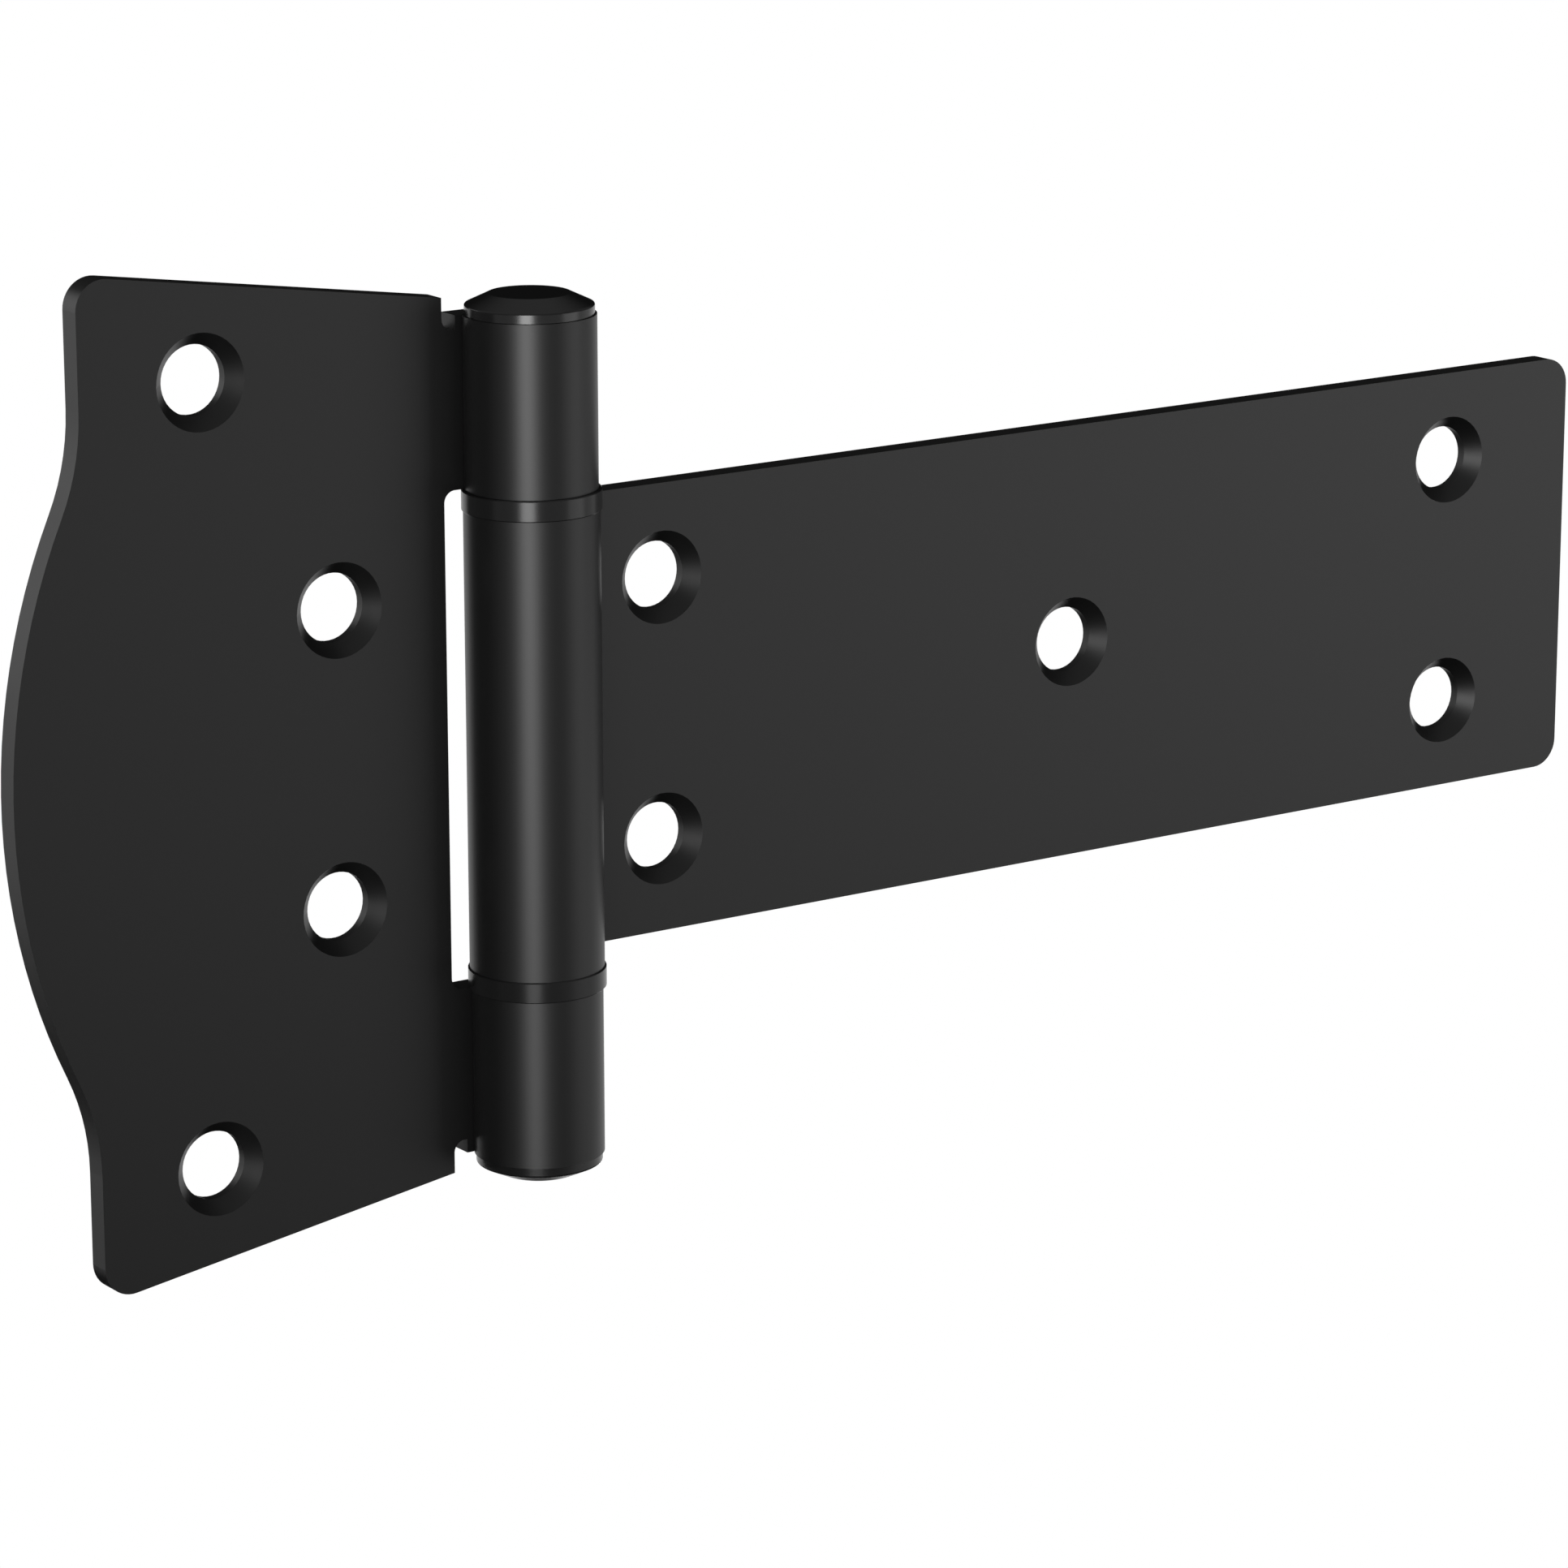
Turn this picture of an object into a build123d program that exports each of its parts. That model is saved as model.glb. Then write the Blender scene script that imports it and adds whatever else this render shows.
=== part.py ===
from build123d import *

import os
from math import sqrt

# Tee hinge of rolled steel sheet: a tall post leaf, a long strap leaf, a headed pin with a pressed cap,
# and two washers. Millimetres. The backs of both leaves lie in the plane Y = 0, the pin stands along Z,
# and the origin is the middle of the post leaf's outer pair of screw holes, at the back.

# Sheet, pin and the rolls round it
sheet_thickness = 3.0
pin_diameter = 10.0
pin_clearance = 0.05
strap_roll_wall = 2.95
post_roll_wall = 2.75
barrel_proud = 1.3
roll_blend = 4.0
roll_seam = 0.3

# Barrel, from the middle outwards
strap_width = 55.0
washer_thickness = 2.5
washer_lip = 0.2
washer_clearance = 0.15
washer_edge = 0.12
post_shoulder = 2.2

# Pin heads, and the stem that holds the pressed one
head_inset = 0.25
head_rim = 1.15
head_height = 2.45
head_cone_width = 2.75
head_edge = 0.25
stem_diameter = 5.0
stem_length = 8.0
stem_clearance = 0.02
stem_bore_spare = 1.0

# Post leaf, measured out from the pin and along the post
post_edge = 56.8
post_bulge = 9.7
post_height = 119.3
post_taper = 0.149
post_gap = 1.6
bulge_radius = 78.5
flare_radius = 28.0
post_corner = 3.5
gap_corner = 1.5
relief_depth = 1.7

# Strap leaf, measured out from the pin
strap_reach = 163.2
strap_corner = 3.5

# Screw holes
hole_diameter = 8.2
sink_diameter = 11.3
sink_angle = 82
outer_pair_margin = 15.5
outer_pair_end = 13.45
inner_pair_from_pin = 23.9
inner_pair_spacing = 35.6
strap_first_hole = 20.5
strap_end_margin = 19.9
strap_side_margin = 11.45

# Radii of the barrel
pin_radius = pin_diameter / 2
bore_radius = pin_radius + pin_clearance
strap_knuckle_radius = bore_radius + strap_roll_wall
post_knuckle_radius = bore_radius + post_roll_wall
washer_radius = strap_knuckle_radius + washer_lip
head_radius = post_knuckle_radius - head_inset
sheet_back = strap_knuckle_radius - barrel_proud
sheet_front = sheet_back - sheet_thickness

# Edges and heights of the post leaf, and the levels of the barrel between them
post_inner_edge = strap_knuckle_radius + post_gap
outer_height = post_height / 2
inner_height = outer_height - post_taper * (post_edge - post_inner_edge)
barrel_top = inner_height - post_shoulder
strap_top = strap_width / 2
post_knuckle_foot = strap_top + washer_thickness
post_knuckle_height = barrel_top - post_knuckle_foot
relief_width = post_inner_edge - post_knuckle_radius
tongue_height = post_knuckle_height - relief_depth

# Screw hole places, out from the pin and up from the middle
outer_pair = post_edge - outer_pair_margin
outer_pair_height = outer_height - outer_pair_end
inner_pair_height = inner_pair_spacing / 2
strap_last_hole = strap_reach - strap_end_margin
strap_middle_hole = (strap_first_hole + strap_last_hole) / 2
strap_pair_height = strap_top - strap_side_margin

# The pin's axis, the plane of the leaves' backs with its X measured from the pin, and their fronts
pin_axis = Axis((outer_pair, -sheet_back, 0), (0, 0, 1))
pin_section = Plane(origin=pin_axis.position, x_dir=(1, 0, 0), z_dir=(0, -1, 0))
back_plane = Plane(origin=(outer_pair, 0, 0), x_dir=(1, 0, 0), z_dir=(0, -1, 0))
front_plane = back_plane.offset(sheet_thickness)

os.makedirs("parts", exist_ok=True)


def across_pin(height):
    """The plane square to the pin at a height, with its origin on the pin's axis."""
    return Plane(origin=pin_axis.position + Vector(0, 0, height))


def rolled_knuckle(radius, side):
    """The sheet's end rolled round the pin: it comes in at the back and ends at a seam in front."""
    with BuildSketch(mode=Mode.PRIVATE) as profile:
        Circle(radius)
        with Locations((side * radius / 2, sheet_back - sheet_thickness / 2)):
            Rectangle(radius, sheet_thickness)
        back_corner = side * sqrt(radius**2 - sheet_back**2)
        meeting = profile.vertices().filter_by_position(Axis.X, back_corner - 0.01, back_corner + 0.01)
        fillet(meeting.sort_by(Axis.Y)[-1], roll_blend)
        Circle(bore_radius, mode=Mode.SUBTRACT)
        with Locations((side * radius, sheet_front - roll_seam / 2)):
            Rectangle(2 * radius, roll_seam, mode=Mode.SUBTRACT)
    return profile.sketch


def pin_head(seat, side):
    """Half the section of a pin head on its seat: a short rim, a low cone and a flat end."""
    with BuildSketch(mode=Mode.PRIVATE) as section:
        Polygon(
            (0, seat),
            (head_radius, seat),
            (head_radius, seat + side * head_rim),
            (head_radius - head_cone_width, seat + side * head_height),
            (0, seat + side * head_height),
            align=None,
        )
        rim_corner = section.vertices().filter_by_position(
            Axis.Y, seat + side * head_rim - 0.01, seat + side * head_rim + 0.01
        )
        fillet(rim_corner, head_edge)
    return section.sketch


# Post leaf: a tapered plate whose outer edge bulges, with a relieved tongue at each end rolled round the pin
with BuildPart() as post_leaf:
    with BuildSketch(back_plane) as blank:
        bulge_centre = post_edge + post_bulge - bulge_radius
        flare_centre = post_edge + flare_radius
        flare_start = sqrt((bulge_radius + flare_radius) ** 2 - (flare_centre - bulge_centre) ** 2)
        share = bulge_radius / (bulge_radius + flare_radius)
        join_x = bulge_centre + share * (flare_centre - bulge_centre)
        join_z = share * flare_start
        with BuildLine():
            top = Line((-post_inner_edge, inner_height), (-post_edge, outer_height))
            upper_edge = Line(top @ 1, (-post_edge, flare_start))
            upper_flare = TangentArc(upper_edge @ 1, (-join_x, join_z), tangent=upper_edge % 1)
            bulge = TangentArc(upper_flare @ 1, (-join_x, -join_z), tangent=upper_flare % 1)
            lower_flare = TangentArc(bulge @ 1, (-post_edge, -flare_start), tangent=bulge % 1)
            Polyline(
                lower_flare @ 1,
                (-post_edge, -outer_height),
                (-post_inner_edge, -inner_height),
                top @ 0,
            )
        make_face()
        by_height = blank.vertices().sort_by(Axis.Y)
        fillet([by_height[0], by_height[-1]], post_corner)
        tongue_middle = post_knuckle_foot + tongue_height / 2
        with Locations((-post_inner_edge, tongue_middle), (-post_inner_edge, -tongue_middle)):
            Rectangle(2 * relief_width, tongue_height)
        on_inner_edge = blank.vertices().filter_by_position(
            Axis.X, -post_inner_edge - 0.01, -post_inner_edge + 0.01
        )
        fillet(on_inner_edge.sort_by(Axis.Y)[1:-1], min(gap_corner, 0.8 * relief_width))
    extrude(amount=sheet_thickness)
    for foot in (post_knuckle_foot, -barrel_top):
        with BuildSketch(across_pin(foot)):
            add(rolled_knuckle(post_knuckle_radius, -1))
        extrude(amount=post_knuckle_height)
    with Locations(front_plane):
        with Locations(
            (-outer_pair, outer_pair_height),
            (-outer_pair, -outer_pair_height),
            (-inner_pair_from_pin, inner_pair_height),
            (-inner_pair_from_pin, -inner_pair_height),
        ):
            CounterSinkHole(hole_diameter / 2, sink_diameter / 2, sheet_thickness, sink_angle)
post_leaf.part.label = "post_leaf"
export_step(post_leaf.part, "parts/post_leaf.step")

# Strap leaf: a straight plate with two rounded corners, rolled round the pin between the washers
with BuildPart() as strap_leaf:
    with BuildSketch(back_plane) as strap:
        with Locations(((strap_knuckle_radius + strap_reach) / 2, 0)):
            Rectangle(strap_reach - strap_knuckle_radius, strap_width)
        fillet(strap.vertices().group_by(Axis.X)[-1], strap_corner)
    extrude(amount=sheet_thickness)
    with BuildSketch(across_pin(-strap_top)):
        add(rolled_knuckle(strap_knuckle_radius, 1))
    extrude(amount=strap_width)
    with Locations(front_plane):
        with Locations(
            (strap_first_hole, strap_pair_height),
            (strap_first_hole, -strap_pair_height),
            (strap_middle_hole, 0),
            (strap_last_hole, strap_pair_height),
            (strap_last_hole, -strap_pair_height),
        ):
            CounterSinkHole(hole_diameter / 2, sink_diameter / 2, sheet_thickness, sink_angle)
strap_leaf.part.label = "strap_leaf"
export_step(strap_leaf.part, "parts/strap_leaf.step")

# Hinge pin: turned in one piece with its lower head, and drilled at the top for the cap's stem
with BuildPart() as hinge_pin:
    with BuildSketch(pin_section):
        add(pin_head(-barrel_top, -1))
        Rectangle(pin_radius, 2 * barrel_top, align=(Align.MIN, Align.CENTER))
        with Locations((0, barrel_top)):
            Rectangle(
                stem_diameter / 2 + stem_clearance,
                stem_length + stem_bore_spare,
                align=(Align.MIN, Align.MAX),
                mode=Mode.SUBTRACT,
            )
    revolve(axis=pin_axis)
hinge_pin.part.label = "hinge_pin"
export_step(hinge_pin.part, "parts/hinge_pin.step")

# Pin cap: a head like the pin's own, with a stem pressed into the pin's top
with BuildPart() as pin_cap:
    with BuildSketch(pin_section):
        add(pin_head(barrel_top, 1))
        with Locations((0, barrel_top)):
            Rectangle(stem_diameter / 2, stem_length, align=(Align.MIN, Align.MAX))
    revolve(axis=pin_axis)
pin_cap.part.label = "pin_cap"
export_step(pin_cap.part, "parts/pin_cap.step")

# Washers: plain thick rings with their rims just broken, one at each end of the strap's knuckle
for name, foot in (("upper_washer", strap_top), ("lower_washer", -post_knuckle_foot)):
    with BuildPart() as washer:
        with BuildSketch(across_pin(foot)):
            Circle(washer_radius)
            Circle(pin_radius + washer_clearance, mode=Mode.SUBTRACT)
        extrude(amount=washer_thickness)
        rims = washer.edges().filter_by(GeomType.CIRCLE).group_by(SortBy.RADIUS)[-1]
        chamfer(rims, min(washer_edge, 0.4 * washer_thickness))
    washer.part.label = name
    export_step(washer.part, f"parts/{name}.step")
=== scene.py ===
from math import cos, pi, radians, sin, tan

import bpy
from mathutils import Euler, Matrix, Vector


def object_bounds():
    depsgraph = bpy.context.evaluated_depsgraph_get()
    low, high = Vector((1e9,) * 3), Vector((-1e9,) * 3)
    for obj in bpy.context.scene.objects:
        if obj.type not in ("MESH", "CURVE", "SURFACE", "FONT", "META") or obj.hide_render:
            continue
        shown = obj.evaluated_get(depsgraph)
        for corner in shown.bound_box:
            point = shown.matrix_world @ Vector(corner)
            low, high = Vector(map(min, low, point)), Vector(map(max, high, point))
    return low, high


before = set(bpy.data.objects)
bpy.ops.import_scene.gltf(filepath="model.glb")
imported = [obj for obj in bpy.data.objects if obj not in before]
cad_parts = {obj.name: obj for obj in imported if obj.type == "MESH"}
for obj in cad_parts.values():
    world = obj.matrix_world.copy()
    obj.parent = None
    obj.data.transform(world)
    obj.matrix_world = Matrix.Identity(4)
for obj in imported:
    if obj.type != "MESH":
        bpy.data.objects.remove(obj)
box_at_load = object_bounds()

# Post and strap leaves: 3 mm mild steel sheet, blanked, countersunk and rolled round the pin, then dipped
# in zinc phosphate and sprayed with black polyester powder, which is baked to a satin skin 0.08 mm thick.
MM = 0.001
orange_peel = 1.4 * MM
orange_peel_depth = 0.0012 * MM


def linear(hex_colour):
    """An sRGB hex colour as linear red, green, blue and alpha."""
    channels = [int(hex_colour[i : i + 2], 16) / 255 for i in (1, 3, 5)]
    return [c / 12.92 if c <= 0.04045 else ((c + 0.055) / 1.055) ** 2.4 for c in channels] + [1.0]


def add_node(tree, kind, settings=None, values=None, links=None):
    """Adds one shader node, with its settings, its input values and its links from other nodes."""
    node = tree.nodes.new(kind)
    for name, value in (settings or {}).items():
        setattr(node, name, value)
    for name, value in (values or {}).items():
        node.inputs[name].default_value = value
    for name, source in (links or {}).items():
        tree.links.new(source, node.inputs[name])
    return node


def new_material(name):
    """An empty material, and the node tree that holds its shader."""
    material = bpy.data.materials.new(name)
    material.use_nodes = True
    material.node_tree.nodes.clear()
    return material, material.node_tree


# Black polyester powder coat. Its fine matting powder spreads the lights into soft wide bands, and the
# baked skin keeps a faint orange peel that shows only close up.
powder_coat, tree = new_material("polyester_powder_coat_satin_black")
place = add_node(tree, "ShaderNodeTexCoord").outputs["Object"]
peel = add_node(
    tree,
    "ShaderNodeTexNoise",
    values={"Scale": 1 / orange_peel, "Detail": 1.0, "Roughness": 0.4},
    links={"Vector": place},
)
peel_bump = add_node(
    tree,
    "ShaderNodeBump",
    values={"Strength": 1.0, "Distance": orange_peel_depth},
    links={"Height": peel.outputs["Fac"]},
)
coat = add_node(
    tree,
    "ShaderNodeBsdfPrincipled",
    values={"Base Color": linear("#080808"), "Roughness": 0.42, "IOR": 1.36},
    links={"Normal": peel_bump.outputs["Normal"]},
)
add_node(tree, "ShaderNodeOutputMaterial", links={"Surface": coat.outputs["BSDF"]})
for leaf in ("post_leaf", "strap_leaf"):
    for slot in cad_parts[leaf].material_slots:
        slot.material = powder_coat

# Hinge pin and its cap: a turned 10 mm steel rod with a head at its foot, and a turned cap pressed into
# its top end. Both are dipped in black electrocoat, which is baked on.

# Black electrocoat over turned steel. It flows out thinner and smoother than powder, so the head's rim
# shows a narrow bright glint where the powder beside it shows a wide soft band.
electrocoat, tree = new_material("electrocoat_gloss_black")
coat = add_node(
    tree,
    "ShaderNodeBsdfPrincipled",
    values={"Base Color": linear("#101010"), "Roughness": 0.23, "IOR": 1.33},
)
add_node(tree, "ShaderNodeOutputMaterial", links={"Surface": coat.outputs["BSDF"]})
for turned in ("hinge_pin", "pin_cap"):
    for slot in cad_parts[turned].material_slots:
        slot.material = electrocoat

# Washers: 2.5 mm thick steel rings, punched and then tumbled to break their edges. One sits at each end of
# the strap's knuckle, dipped in the same black electrocoat as the pin.

# Black electrocoat over tumbled steel, a little duller and greyer than on the turned pin.
tumbled, tree = new_material("electrocoat_tumbled_black")
coat = add_node(
    tree,
    "ShaderNodeBsdfPrincipled",
    values={"Base Color": linear("#111111"), "Roughness": 0.24, "IOR": 1.28},
)
add_node(tree, "ShaderNodeOutputMaterial", links={"Surface": coat.outputs["BSDF"]})
for washer in ("upper_washer", "lower_washer"):
    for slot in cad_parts[washer].material_slots:
        slot.material = tumbled

# Floor: a wide sheet of white studio paper, well below the hinge. The camera and every reflection see it
# as plain white, and all other light meets its own pale colour, which takes the hinge's shadow.
floor_drop = 450 * MM
floor_reach = 6.0
floor_height = box_at_load[0].z - floor_drop
floor_corners = [(-1, -1), (1, -1), (1, 1), (-1, 1)]
floor_mesh = bpy.data.meshes.new("floor")
floor_mesh.from_pydata(
    [(x * floor_reach, y * floor_reach, floor_height) for x, y in floor_corners], [], [(0, 1, 2, 3)]
)
floor = bpy.data.objects.new("floor", floor_mesh)
bpy.context.scene.collection.objects.link(floor)

# White studio paper, matt and smooth, so the eye finds no grain or edge in it behind the hinge.
paper, tree = new_material("studio_paper_white")
ray = add_node(tree, "ShaderNodeLightPath").outputs
seen = add_node(
    tree,
    "ShaderNodeMath",
    {"operation": "MAXIMUM"},
    links={0: ray["Is Camera Ray"], 1: ray["Is Glossy Ray"]},
)
seen_through = add_node(
    tree,
    "ShaderNodeMath",
    {"operation": "MAXIMUM"},
    links={0: seen.outputs[0], 1: ray["Is Transmission Ray"]},
)
lit_paper = add_node(tree, "ShaderNodeBsdfDiffuse", values={"Color": linear("#EDEDED")})
plain_white = add_node(
    tree, "ShaderNodeEmission", values={"Color": linear("#FFFFFF"), "Strength": 1.0}
)
paper_look = add_node(
    tree,
    "ShaderNodeMixShader",
    links={0: seen_through.outputs[0], 1: lit_paper.outputs[0], 2: plain_white.outputs[0]},
)
add_node(tree, "ShaderNodeOutputMaterial", links={"Surface": paper_look.outputs[0]})
floor_mesh.materials.append(paper)

# Floor cloth: a round sheet of black velvet on the paper, in front of the hinge and to its left. It lies
# below the picture's edge, and keeps the white paper out of the barrel's dark bands and the lower head.
pin_place = Vector((41.3, -6.7, 0.0)) * MM
cloth_radius = 1.5
cloth_offset = 0.75
cloth_turned = -60
cloth_lift = 2 * MM


def towards(turned):
    """The level direction out of the hinge at an angle from straight in front, counted to the right."""
    return Vector((sin(radians(turned)), -cos(radians(turned)), 0.0))


cloth_middle = pin_place + towards(cloth_turned) * cloth_offset
cloth_middle.z = floor_height + cloth_lift
cloth_rim = [cloth_middle + towards(angle) * cloth_radius for angle in range(0, 360, 10)]
cloth_mesh = bpy.data.meshes.new("floor_cloth")
cloth_mesh.from_pydata(cloth_rim, [], [range(len(cloth_rim))])
cloth = bpy.data.objects.new("floor_cloth", cloth_mesh)
cloth.visible_camera = False
bpy.context.scene.collection.objects.link(cloth)

# Black cotton velvet, woven with a deep pile that swallows nearly all light.
velvet, tree = new_material("cotton_velvet_black")
pile = add_node(tree, "ShaderNodeBsdfDiffuse", values={"Color": linear("#0C0C0C")})
add_node(tree, "ShaderNodeOutputMaterial", links={"Surface": pile.outputs["BSDF"]})
cloth_mesh.materials.append(velvet)

# Studio room: soft grey walls under a paler ceiling. The wall behind the hinge and to its right is hung
# with a black curtain, so that the top edges of the sheet stay dark against the white floor.
wall_light = 0.29
ceiling_light = 0.22
ceiling_start = 0.3
curtain_light = 0.008
curtain_turned = 152
curtain_edge = 0.35
curtain_full = 0.8
studio = bpy.data.worlds.new("studio_room")
bpy.context.scene.world = studio
studio.use_nodes = True
tree = studio.node_tree
tree.nodes.clear()
direction = add_node(tree, "ShaderNodeTexCoord").outputs["Generated"]
height = add_node(tree, "ShaderNodeSeparateXYZ", links={"Vector": direction}).outputs["Z"]
facing_curtain = add_node(
    tree,
    "ShaderNodeVectorMath",
    {"operation": "DOT_PRODUCT"},
    {1: towards(curtain_turned)},
    {0: direction},
)
walls = add_node(
    tree,
    "ShaderNodeMapRange",
    {"interpolation_type": "SMOOTHSTEP"},
    {"From Min": curtain_edge, "From Max": curtain_full, "To Min": wall_light, "To Max": curtain_light},
    {"Value": facing_curtain.outputs["Value"]},
)
ceiling = add_node(
    tree,
    "ShaderNodeMapRange",
    {"interpolation_type": "SMOOTHSTEP"},
    {"From Min": ceiling_start, "From Max": 1.0, "To Min": 0.0, "To Max": ceiling_light},
    {"Value": height},
)
brightness = add_node(
    tree, "ShaderNodeMath", links={0: walls.outputs["Result"], 1: ceiling.outputs["Result"]}
)
room = add_node(
    tree,
    "ShaderNodeBackground",
    values={"Color": linear("#FFFFFF")},
    links={"Strength": brightness.outputs[0]},
)
add_node(tree, "ShaderNodeOutputWorld", links={"Surface": room.outputs[0]})

# Soft boxes: the key stands in front and to the left and draws the bright band down the barrel, the fill
# to the right draws the fainter one, and a third lights the bulged edge of the post leaf from behind.
box_distance = 1.3


def soft_box(name, turned, half_width, low, high, strength):
    """A soft box facing the hinge: its turn from straight in front, and the angles it covers in degrees."""
    bottom, top = (box_distance * tan(radians(angle)) for angle in (low, high))
    lamp = bpy.data.lights.new(name, "AREA")
    lamp.shape = "RECTANGLE"
    lamp.size = 2 * box_distance * tan(radians(half_width))
    lamp.size_y = top - bottom
    lamp.energy = pi * strength * lamp.size * lamp.size_y
    holder = bpy.data.objects.new(name, lamp)
    way = towards(turned)
    holder.location = pin_place + way * box_distance + Vector((0.0, 0.0, (bottom + top) / 2))
    holder.rotation_euler = way.to_track_quat("Z", "Y").to_euler()
    holder.visible_camera = False
    bpy.context.scene.collection.objects.link(holder)


soft_box("key_light", turned=-38.5, half_width=11, low=-14, high=12, strength=19.5)
soft_box("fill_light", turned=45, half_width=16, low=-14, high=12, strength=2.1)
soft_box("edge_light", turned=-150, half_width=14, low=-3, high=25, strength=2.0)

# Camera: a long lens in front of the hinge and to its left, a little above it. Its angles, distance and
# framing were worked out from the sheet's own edges and screw holes.
aim = Vector((84.6, -1.5, -21.4)) * MM
camera_distance = 751.3 * MM
camera_turned = -35.03
camera_raised = 15.06
lens = bpy.data.cameras.new("camera")
lens.sensor_width = 36.0
lens.lens = 140.68
lens.shift_x = -0.0178
lens.shift_y = 0.0424
lens.clip_start = 0.01
lens.clip_end = 50.0
camera = bpy.data.objects.new("camera", lens)
camera.rotation_euler = Euler((radians(90 - camera_raised), 0.0, radians(camera_turned)))
camera.location = aim + camera.rotation_euler.to_matrix() @ Vector((0.0, 0.0, camera_distance))
bpy.context.scene.collection.objects.link(camera)
bpy.context.scene.camera = camera
bpy.context.scene.view_settings.view_transform = "Standard"
